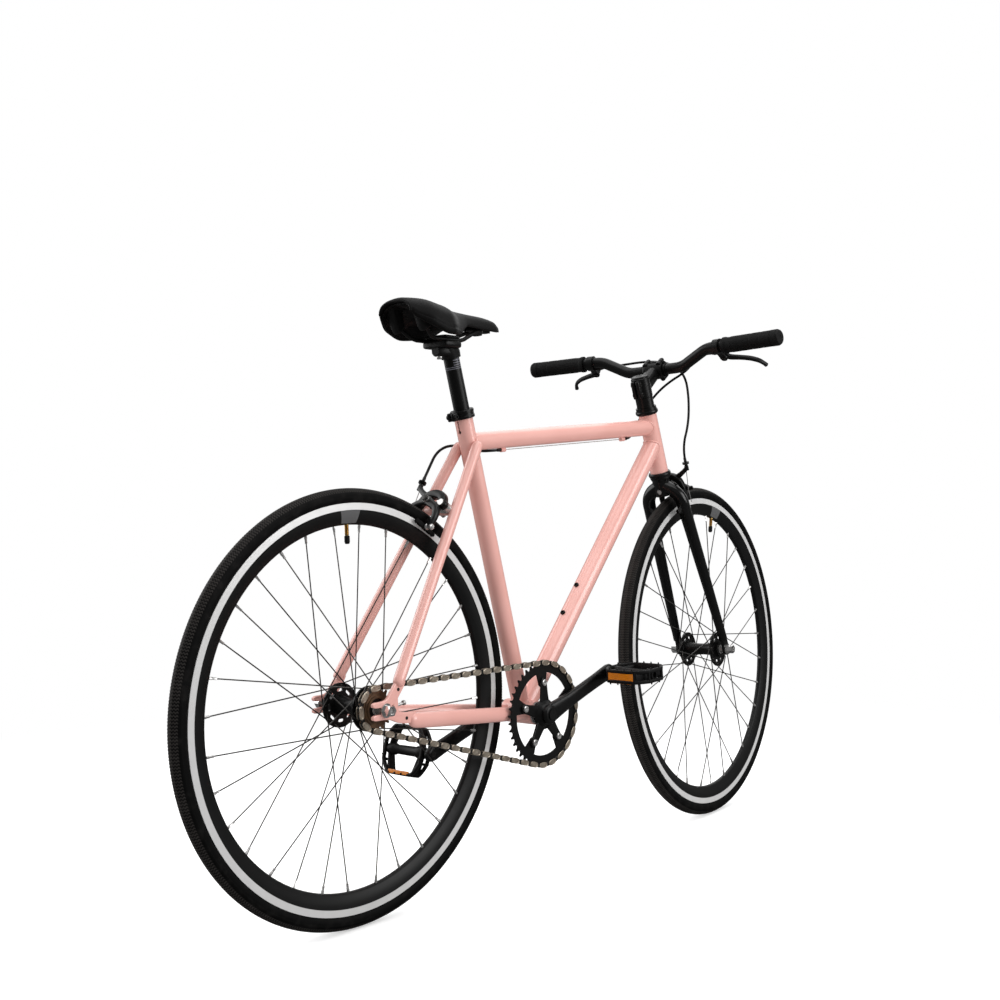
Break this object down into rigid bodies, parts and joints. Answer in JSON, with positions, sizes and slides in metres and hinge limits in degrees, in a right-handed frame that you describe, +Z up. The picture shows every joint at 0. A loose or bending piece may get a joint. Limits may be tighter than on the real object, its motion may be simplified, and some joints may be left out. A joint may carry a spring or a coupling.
{
  "type": "single-speed bicycle",
  "caption": "Single-speed city bicycle with a sloping diamond frame, straight fork, riser bar, caliper rim brakes, deep rims and flat pedals.",
  "frame": {"origin": "the point on the ground straight below the crank axis", "axes": "+X forward, +Y to the rider's left, +Z up"},
  "size_m": [1.6609, 0.5611, 0.9875],
  "materials": {
    "frame_paint": "satin",
    "black_paint": "gloss",
    "black_alloy": "satin",
    "silver_alloy": "polished",
    "steel": "bright",
    "chain_steel": "satin",
    "dark_steel": "satin",
    "tyre": "matte",
    "rubber": "matte",
    "black_plastic": "matte",
    "amber_plastic": "gloss",
    "saddle_skin": "matte"
  },
  "bodies": {
    "frame": {"head_tube": "frame_paint", "top_tube": "frame_paint", "down_tube": "frame_paint", "seat_tube": "frame_paint", "bottom_bracket_shell": "frame_paint", "chainstays": "frame_paint", "seatstays": "frame_paint", "rear_dropouts": "frame_paint", "frame_bolts": "steel", "headset_cups": "black_alloy", "bottom_bracket": "steel", "seat_collar": "black_alloy", "rear_axle": "steel", "rear_axle_nuts": "steel", "chain": "chain_steel", "rear_brake_cable": "black_plastic", "rear_brake_bracket": "steel"},
    "steering": {"fork": "black_paint", "headset_spacers": "black_alloy", "stem": "black_alloy", "stem_faceplate": "black_alloy", "stem_bolts": "steel", "handlebar": "black_alloy", "handlebar_grips": "rubber", "brake_lever_brackets": "black_alloy", "front_axle": "steel", "front_axle_nuts": "steel", "front_brake_cable": "black_plastic", "front_brake_bracket": "steel"},
    "seat": {"seatpost": "black_alloy", "saddle_clamp": "black_alloy", "saddle_rails": "steel", "saddle_base": "black_plastic", "saddle_cover": "saddle_skin"},
    "front_wheel": {"front_tyre": "tyre", "front_inner_tube": "rubber", "front_rim": "black_alloy", "front_spokes": "steel", "front_hub": "black_alloy"},
    "rear_wheel": {"rear_tyre": "tyre", "rear_inner_tube": "rubber", "rear_rim": "black_alloy", "rear_spokes": "steel", "rear_hub": "black_alloy"},
    "freewheel": {"freewheel_cog": "dark_steel"},
    "crank": {"crank_arms": "black_alloy", "chainring": "black_alloy", "chainring_bolts": "steel", "crank_spindle": "steel", "pedal_axles": "steel"},
    "right_pedal": {"pedal_right": "black_plastic", "pedal_reflectors_right": "amber_plastic"},
    "left_pedal": {"pedal_left": "black_plastic", "pedal_reflectors_left": "amber_plastic"},
    "left_lever": {"brake_lever_left": "black_alloy"},
    "right_lever": {"brake_lever_right": "black_alloy"},
    "front_c_arm": {"front_brake_c_arm": "black_alloy"},
    "front_y_arm": {"front_brake_y_arm": "black_alloy"},
    "rear_c_arm": {"rear_brake_c_arm": "black_alloy"},
    "rear_y_arm": {"rear_brake_y_arm": "black_alloy"}
  },
  "joints": [
    {"name": "steering", "type": "hinge", "parent": "frame", "child": "steering", "pos_m": [0.56037, 0, 0.33035], "axis": [-0.309, 0, 0.9511], "range_deg": [-67, 53], "deforming": ["rear_brake_cable"]},
    {"name": "front_wheel_spin", "type": "hinge", "parent": "steering", "child": "front_wheel", "pos_m": [0.5868, 0.00341, 0.33894], "axis": [-0.1159, 0.9925, -0.0377], "continuous": true},
    {"name": "rear_wheel_spin", "type": "hinge", "parent": "frame", "child": "rear_wheel", "pos_m": [-0.39836, 0, 0.339], "axis": [0, 1, 0], "continuous": true},
    {"name": "crank_spin", "type": "hinge", "parent": "frame", "child": "crank", "pos_m": [0, 0, 0.282], "axis": [0, 1, 0], "continuous": true, "deforming": ["chain"]},
    {"name": "freewheel_spin", "type": "hinge", "parent": "frame", "child": "freewheel", "pos_m": [-0.39836, 0, 0.339], "axis": [0, 1, 0], "continuous": true},
    {"name": "right_pedal_spin", "type": "hinge", "parent": "crank", "child": "right_pedal", "pos_m": [0.15934, 0, 0.34126], "axis": [0, 1, 0], "continuous": true},
    {"name": "left_pedal_spin", "type": "hinge", "parent": "crank", "child": "left_pedal", "pos_m": [-0.15934, 0, 0.22274], "axis": [0, 1, 0], "continuous": true},
    {"name": "left_lever_pull", "type": "hinge", "parent": "steering", "child": "left_lever", "pos_m": [0.44265, 0.15659, 0.92446], "axis": [0.5029, 0.1437, 0.8523], "range_deg": [0, 22], "stiffness_Nm_per_rad": 0.6, "springref_deg": -11.46, "deforming": ["front_brake_cable"]},
    {"name": "right_lever_pull", "type": "hinge", "parent": "steering", "child": "right_lever", "pos_m": [0.47665, -0.13461, 0.93551], "axis": [-0.515, -0.04, -0.8562], "range_deg": [0, 22], "stiffness_Nm_per_rad": 0.6, "springref_deg": -11.46, "deforming": ["rear_brake_cable"]},
    {"name": "front_c_arm_swing", "type": "hinge", "parent": "steering", "child": "front_c_arm", "pos_m": [0.46383, 0.02904, 0.6759], "axis": [0.944, 0.1219, 0.3067], "range_deg": [0, 2.2], "deforming": ["front_brake_cable"]},
    {"name": "front_y_arm_swing", "type": "hinge", "parent": "steering", "child": "front_y_arm", "pos_m": [0.46635, 0.00224, 0.67882], "axis": [0.944, 0.1219, 0.3067], "range_deg": [-2.2, 0], "deforming": ["front_brake_cable"]},
    {"name": "rear_c_arm_swing", "type": "hinge", "parent": "frame", "child": "rear_c_arm", "pos_m": [-0.20702, -0.027, 0.64169], "axis": [-0.8333, 0, 0.5528], "range_deg": [0, 2.2], "deforming": ["rear_brake_cable"]},
    {"name": "rear_y_arm_swing", "type": "hinge", "parent": "frame", "child": "rear_y_arm", "pos_m": [-0.20591, 0, 0.64336], "axis": [-0.8333, 0, 0.5528], "range_deg": [-2.2, 0], "deforming": ["rear_brake_cable"]},
    {"name": "seat_height", "type": "slide", "parent": "frame", "child": "seat", "axis": [-0.2588, 0, 0.9659], "range_m": [-0.05, 0.04]}
  ],
  "couplings": [
    {"joint": "freewheel_spin", "follows": "crank_spin", "ratio": 2.75},
    {"joint": "front_c_arm_swing", "follows": "left_lever_pull", "ratio": 0.1},
    {"joint": "front_y_arm_swing", "follows": "left_lever_pull", "ratio": -0.1},
    {"joint": "rear_c_arm_swing", "follows": "right_lever_pull", "ratio": 0.1},
    {"joint": "rear_y_arm_swing", "follows": "right_lever_pull", "ratio": -0.1}
  ]
}
